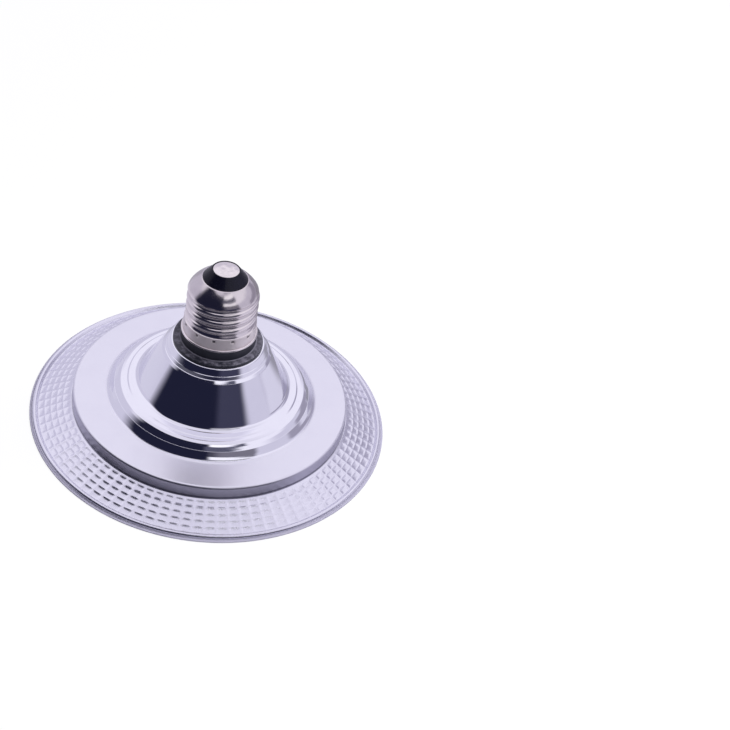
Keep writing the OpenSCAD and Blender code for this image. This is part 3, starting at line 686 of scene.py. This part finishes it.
def contact_button(finish):
    """The centre contact: a low dome of solder on its shank. The dome's height is that of a
    parabola plus slow waves that die out at its rim, with a small sunk spot off its centre."""
    steps, shank_r, shank_foot = 96, 1.5, SHELL - 2.5
    r = CONTACT_R * np.cos(math.pi / 2 * np.linspace(0, 1, 22))
    shank = np.array([[0, shank_foot], [shank_r, shank_foot], [shank_r, CONTACT - 0.5],
                      [CONTACT_R, CONTACT - 0.5], [CONTACT_R, CONTACT - 0.12]])
    dome = np.stack([r, CONTACT - 0.1 + 0.5 * (1 - (r / CONTACT_R) ** 2)], 1)
    path = np.vstack([shank, dome])
    path[-1, 0] = 0
    points = turned(path, steps)
    x, y = points[..., 0], points[..., 1]
    inner = np.clip(1 - (x * x + y * y) / CONTACT_R ** 2, 0, 1)
    waves = 0.07 * np.sin(1.9 * x + 0.6) * np.cos(1.5 * y - 0.4) * inner
    spot = -0.16 * np.exp(-((x - 0.7) ** 2 + (y + 0.5) ** 2) / 1.1)
    points[len(shank):, :, 2] += (waves + spot)[len(shank):]
    points[-1, :, 2] = points[-1, :, 2].mean()
    piece("contact_button", points, grid_faces(len(path), steps), finish,
          "center_contact", 40.0, merge=True)


def at_chips(ring, local):
    """Copies of the local points (out along the radius, along the ring, height) at each chip of
    a ring, turned with the chip."""
    count, radius, start = ring
    a = np.radians(start + 360 * np.arange(count) / count)[:, None]
    out, along = radius + local[None, :, 0], local[None, :, 1]
    return np.stack([out * np.cos(a) - along * np.sin(a), out * np.sin(a) + along * np.cos(a),
                     np.broadcast_to(local[None, :, 2], (count, len(local)))], 2)


def windows(name, rings, finish):
    """Gel windows in the chips: a pillow over a rounded square, whose height is 1 minus the
    fourth power of the distance from its centre. Its points carry that distance as "across"."""
    n = 7
    s = np.linspace(-1, 1, n)
    u, v = np.meshgrid(s, s, indexing="ij")
    squash = 1 - 0.12 * (u * v) ** 2
    far = np.maximum(np.abs(u), np.abs(v))
    local = np.stack([u * squash * CHIP_W * 0.376, v * squash * CHIP_L * 0.376,
                      BOARD_FACE - CHIP_H + 0.11 - 0.07 * (1 - far ** 4)], 2).reshape(-1, 3)
    sets = np.concatenate([at_chips(ring, local) for ring in rings])
    faces = np.concatenate([grid_faces(n, n, loop_columns=False, first=k * n * n)
                            for k in range(len(sets))])
    made = piece(name, sets, faces, finish)
    carry(made, "across", np.tile(far.ravel(), len(sets)))


def bar(radius, turn, width, lean):
    """Corners of a printed bar, 1.5 long, at a radius and turn, which leans by this angle."""
    a = math.radians(lean)
    x, y, _ = on_circle(radius, turn, 0)
    c = np.array([[-1.5, -width], [1.5, -width], [1.5, width], [-1.5, width]]) / 2
    return np.stack([x + c[:, 0] * math.cos(a) - c[:, 1] * math.sin(a),
                     y + c[:, 0] * math.sin(a) + c[:, 1] * math.cos(a)], 1)


def board_print(finish):
    """A cathode mark beside each chip, and a plus and a minus sign at the leads' pads. Each bar
    is a thin box on the board's face."""
    ink_depth, sign_r = 0.03, 14.9
    bars = []
    for count, radius, start in (OUTER_CHIPS, INNER_CHIPS, GROW_CHIPS):
        beside = math.degrees((CHIP_L / 2 + 0.75) / radius)
        for k in range(count):
            turn = start + 360 * k / count + beside
            bars.append(bar(radius, turn, 0.4, turn))
    for turn, leans in ((PLUS_PAD, (0, 90)), (MINUS_PAD, (0,))):
        bars += [bar(sign_r, turn + 13, 0.35, lean) for lean in leans]
    flat = np.tile(np.array(bars), (1, 2, 1))
    heights = np.repeat([BOARD_FACE, BOARD_FACE - ink_depth], 4)
    points = np.dstack([flat, np.broadcast_to(heights, flat.shape[:2])])
    sides = [[4, 5, 6, 7]] + [[k, (k + 1) % 4, 4 + (k + 1) % 4, 4 + k] for k in range(4)]
    faces = (8 * np.arange(len(bars))[:, None, None] + np.array(sides)).reshape(-1, 4)
    piece("board_print", points, faces, finish, merge=True)


def solder_pads(finish):
    """Tinned pads under the leads' joints: a flat ring, whose square section is turned round
    the pad's centre."""
    steps, top = 40, BOARD_FACE - 0.025
    ring = turned(np.array([[0.4, BOARD_FACE], [0.4, top], [1.9, top], [1.9, BOARD_FACE]]), steps)
    sets = [ring + on_circle(PAD_RING, turn, 0) for turn in (PLUS_PAD, MINUS_PAD)]
    faces = [grid_faces(len(ring), steps, loop_rows=True, first=first)
             for first in (0, len(ring) * steps)]
    piece("solder_pads", np.concatenate(sets), np.concatenate(faces), finish,
          merge=True)


def spline(points, steps):
    """Points on a curve that passes smoothly through the given ones, each stretch a cubic whose
    slopes are half the distance between the neighbours."""
    p = np.asarray(points, float)
    padded = np.vstack([p[:1], p, p[-1:]])
    a, b, c, d = padded[:-3, None], padded[1:-2, None], padded[2:-1, None], padded[3:, None]
    t = (np.arange(steps) / steps)[None, :, None]
    curve = 0.5 * (2 * b + (c - a) * t + (2 * a - 5 * b + 4 * c - d) * t ** 2
                   + (3 * b - a - 3 * c + d) * t ** 3)
    return np.vstack([curve.reshape(-1, 3), p[-1:]])


def wire(name, route, finish, slot):
    """A tube along a route: a ring of points at each step, across the route's direction, with
    flat ends."""
    radius, sides = 0.7, 14
    p = spline(route, 6)
    along = np.gradient(p, axis=0)
    along /= np.linalg.norm(along, axis=1)[:, None]
    across = np.cross(along, (0.2, 1.0, 0.1))
    across /= np.linalg.norm(across, axis=1)[:, None]
    up = np.cross(along, across)
    a = 2 * math.pi * np.arange(sides) / sides
    ring = np.cos(a)[None, :, None] * across[:, None] + np.sin(a)[None, :, None] * up[:, None]
    shrink = np.array([0.0, 0.5, 0.85])[:, None, None] * radius
    points = np.concatenate([p[0] + ring[:1] * shrink, p[:, None] + ring * radius,
                             p[-1] + ring[-1:] * shrink[::-1]])
    piece(name, points, grid_faces(len(points), sides), finish, slot, merge=True)


def solder_mounds(finish):
    """A mound of solder at the end of each lead: a tall power curve over its pad, pulled towards
    the lead and roughened by slow waves, on a flat fan of faces."""
    steps, radius, height, lean = 28, 1.2, 1.1, 0.12
    t = np.linspace(0, 1, 12)[:, None]
    r, h = radius * (1 - t ** 1.4), height * (1 - (1 - t) ** 2.2)
    b = 2 * math.pi * np.arange(steps) / steps
    points, faces = [], []
    for turn in (PLUS_PAD, MINUS_PAD):
        centre = on_circle(PAD_RING, turn, BOARD_FACE)
        pull = on_circle(lean, turn, 0)
        first = sum(map(len, points))
        mound = np.stack([centre[0] + r * np.cos(b) - pull[0] * h,
                          centre[1] + r * np.sin(b) - pull[1] * h,
                          centre[2] - h * (1 + 0.06 * np.sin(3 * b + turn) * (1 - t))], 2)
        points += [mound.reshape(-1, 3), np.array([centre])]
        foot = first + np.arange(steps)
        middle = np.full(steps, first + mound[..., 0].size)
        faces += grid_faces(len(t), steps, first=first).tolist()
        faces += np.stack([foot, np.roll(foot, -1), middle], 1).tolist()
    piece("solder_mounds", np.concatenate(points), faces, finish,
          "solder_joints", 50.0, merge=True)


bell_housing(polished_sheet())
mirror_rim(mirror_coat())
lens_cover(clear_plastic())
screw_cap(cap_plate())
contact_button(solder("contact_solder", (0.94, 0.88, 0.86), 0.05))
windows("ring_windows", (OUTER_CHIPS, INNER_CHIPS), phosphor())
windows("grow_windows", (GROW_CHIPS,), grow_gel())
board_print(ink())
tin = solder("tin", (0.78, 0.78, 0.80))
solder_pads(tin)
solder_mounds(tin)
wire("red_wire", [(8.4, 1.6, 16.5), (7.2, 1.9, 13.9), on_circle(4.53, 30, 10.5),
                  (0.4, 3.2, 8.2), (-5.2, 4.4, 7.9), on_circle(10.6, PLUS_PAD, 8.65)],
     moulded("red_sleeve", (0.50, 0.02, 0.035), 0.3, coat=0.2), "red_lead")
wire("white_wire", [(8.4, -1.6, 16.5), (7.2, -1.8, 13.9), on_circle(4.43, -28, 10.5),
                    (0.4, -2.8, 8.2), (-5.2, -4.3, 7.9), on_circle(10.6, MINUS_PAD, 8.65)],
     moulded("white_sleeve", (0.76, 0.76, 0.80), 0.3, coat=0.2), "white_lead")

package = chip_package()
finishes = {
    "led_board": white_mask(),
    "outer_ring_leds": package,
    "inner_ring_leds": package,
    "grow_leds": package,
    "board_screws": nickel("screw_plate", (0.80, 0.78, 0.76), 0.18),
    "driver_case": case_black(),
    "driver_board": driver_mask(),
    "electrolytic_capacitor": sleeve(),
    "film_capacitor": moulded("dipped_film", (0.50, 0.075, 0.03), 0.22, 0.9, 0.08, 0.5),
    "inductor": moulded("ferrite", (0.05, 0.05, 0.055), 0.4, 1.8, 0.06),
    "bridge_rectifier": moulded("bridge_black", (0.02, 0.02, 0.022), 0.38),
    "fuse_resistor": resistor_bands(),
    "live_lead": moulded("live_sleeve", (0.50, 0.02, 0.03), 0.3),
    "neutral_lead": moulded("neutral_sleeve", (0.02, 0.02, 0.022), 0.3),
    "cap_insulator": moulded("cap_black", (0.003, 0.003, 0.009), 0.18, 1.2, 0.02, gloss=0.22),
}
for name, finish in finishes.items():
    nodes[name].data.materials.clear()
    nodes[name].data.materials.append(finish)


# Studio

# What the lamp mirrors, as patches of the room round it, in degrees: a range round it (0 in
# front, 90 on its right, or None for all round) and how soft its ends are, a range up from the
# floor and how soft its ends are, and a colour. A later patch covers the ones before it.
WALL = (0.66, 0.64, 0.78)
BLACK_CARD = (0.014, 0.015, 0.036)
PATCHES = (
    (None, 9, (36, 120), 9, (0.92, 0.90, 1.02)),            # the bright upper walls
    (None, 9, (64, 120), 12, (0.80, 0.78, 0.90)),           # the ceiling
    ((138, 150), 9, (16, 33), 9, (0.40, 0.38, 0.50)),       # a grey strip behind
    ((104, 145), 8, (2, 14), 3, (0.36, 0.34, 0.44)),        # a grey strip low down behind
    ((16, 58), 8, (19, 31), 2, (0.20, 0.19, 0.24)),         # the window's sill
    ((-71, 8), 20, (-30, 55), 5, BLACK_CARD),               # the card in front
    ((0, 53), 18, (-30, 17), 1.5, BLACK_CARD),              # its low wing on the right
    ((26, 53), 13, (-30, 17), 1.5, (0.05, 0.05, 0.09)),     # the wing's paler end
    ((10, 56), 8, (42, 50), 1.5, (0.10, 0.10, 0.15)),       # the window's middle bar
    ((12, 56), 7, (62, 66), 3, (0.30, 0.29, 0.36)),         # the window's head
    ((16, 52), 7, (33.5, 39.5), 2, (1.05, 1.04, 1.12)),     # the window's lower pane
    ((16, 52), 7, (53, 58), 2, (1.15, 1.14, 1.22)),         # the window's upper pane
)
# Painted reflection on the floor: a range round the lamp, how soft its ends are, and the colour
# the floor glows with there, seen by mirror images only.
FLOOR_GLOW = (
    ((-66, 50), 20, (0.02, 0.02, 0.045)),
    ((140, 200), 18, (0.24, 0.23, 0.29)),
    ((-200, -150), 18, (0.42, 0.41, 0.49)),
)


def from_front(finish, x, y):
    """Degrees round the lamp from its front, positive on the right."""
    return finish.angle(x, 0 - y) * (180 / math.pi)


def floor_finish():
    """White paper: the camera sees it nearly white with the lamp's shadow left in. Mirror images
    see a painted reflection instead: a pale glow, with a black card painted in front of the
    lamp. From below it isn't there at all."""
    f = Finish("floor_paper")
    mirrored, washed = 0.9, 0.86
    paper = f.node("ShaderNodeBsdfDiffuse",
                   values={"Color": f.mix(f.noise(0.02), (0.90, 0.90, 0.91), (0.92, 0.92, 0.93))})
    x, y, z, r = f.place()
    side = from_front(f, x, y)
    shade = WALL
    for (left, right), soft, colour in FLOOR_GLOW:
        shade = f.mix(side.band(left, right, soft), shade, colour)
    rays = f.node("ShaderNodeLightPath").socket.node.outputs
    camera, glossy = (Value(f, rays[k]) for k in ("Is Camera Ray", "Is Glossy Ray"))
    # painted reflection: the floor glows with these colours for mirror images, as if cards stood
    # round the lamp
    mirror_glow = f.node("ShaderNodeEmission", values={"Color": shade, "Strength": 1.0})
    white = f.node("ShaderNodeEmission", values={"Color": (1.0, 1.0, 1.0), "Strength": 1.0})
    shown = f.node("ShaderNodeMixShader", values=(glossy * mirrored, paper, mirror_glow))
    shown = f.node("ShaderNodeMixShader", values=(camera * washed, shown, white))
    under = f.node("ShaderNodeNewGeometry", out="Backfacing")
    clear = f.node("ShaderNodeBsdfTransparent")
    return f.done(f.node("ShaderNodeMixShader", values=(under, shown, clear)))


def floor():
    """A square of paper, 6 metres wide."""
    mesh = bpy.data.meshes.new("floor")
    mesh.from_pydata([(-3, -3, 0), (3, -3, 0), (3, 3, 0), (-3, 3, 0)], [], [(0, 1, 2, 3)])
    mesh.materials.append(floor_finish())
    add("floor", mesh)


def room():
    """The studio round the lamp: the camera sees white, and the lamp sees a pale room with the
    patches."""
    world = bpy.data.worlds.new("room")
    bpy.context.scene.world = world
    world.use_nodes = True
    f = Finish("room", world.node_tree)
    x, y, z = f.split(f.node("ShaderNodeTexCoord", out="Generated"))
    side, up = from_front(f, x, y), z.math("ARCSINE", z) * (180 / math.pi)
    wall = WALL
    for across, soft_ends, upwards, soft, colour in PATCHES:
        patch = up.band(*upwards, soft)
        if across is not None:
            patch = patch * side.band(*across, soft_ends)
        wall = f.mix(patch, wall, colour)
    seen = f.node("ShaderNodeBackground", values=(wall, 1.0))
    white = f.node("ShaderNodeBackground", values={"Color": (1.0, 1.0, 1.0), "Strength": 1.0})
    camera = f.node("ShaderNodeLightPath", out="Is Camera Ray")
    f.node("ShaderNodeOutputWorld",
           values=(f.node("ShaderNodeMixShader", values=(camera, seen, white)),))


def softbox(name, side, up, width, power):
    """A square area light at this angle from the front and this elevation, which faces the lamp.
    Mirror images see the room's patches instead of it."""
    a, e = math.radians(side), math.radians(up)
    target, distance = np.array([0, 0, 30.0]), 900.0
    place = target + distance * np.array([math.sin(a) * math.cos(e), -math.cos(a) * math.cos(e),
                                          math.sin(e)])
    light = bpy.data.lights.new(name, "AREA")
    light.shape, light.size, light.energy = "SQUARE", width * MM, power
    made = add(name, light)
    made.location = place * MM
    made.rotation_euler = Vector(place - target).to_track_quat("Z", "Y").to_euler()
    made.visible_glossy = False


def camera():
    """The photograph's view, as a pinhole camera: its focal length in pixels of a square image,
    its elevation and roll, its axis in the image, and where a point under the lamp shows there
    and how far it is."""
    focal, side = 1530.7, 730
    up, roll = math.radians(39.27), math.radians(-11.49)
    axis = np.array([365.4, 364.6])
    centre, seen_at, distance = np.array([0, 0, -0.2]), np.array([209.0, 414.0]), 588.3
    flat = np.array([1.0, 0, 0])
    ahead = np.array([0, math.cos(up), -math.sin(up)])
    fall = np.array([0, -math.sin(up), -math.cos(up)])
    right = math.cos(roll) * flat + math.sin(roll) * fall
    down = -math.sin(roll) * flat + math.cos(roll) * fall
    off = (seen_at - axis) / focal * distance
    place = centre - (off[0] * right + off[1] * down + distance * ahead)
    lens = bpy.data.cameras.new("camera")
    lens.lens, lens.sensor_width = focal / side * 36.0, 36.0
    lens.shift_x = (side / 2 - axis[0]) / side
    lens.shift_y = (axis[1] - side / 2) / side
    lens.clip_start, lens.clip_end = 0.01, 20.0
    made = add("camera", lens)
    view = np.eye(4)
    view[:3] = np.stack([right, -down, -ahead, place * MM], 1)
    made.matrix_world = Matrix(view.tolist())
    bpy.context.scene.camera = made


floor()
room()
softbox("window", 116, 50, 420, 5.0)
softbox("front_fill", 22, 50, 300, 2.0)
camera()
bpy.context.scene.view_settings.view_transform = "Standard"
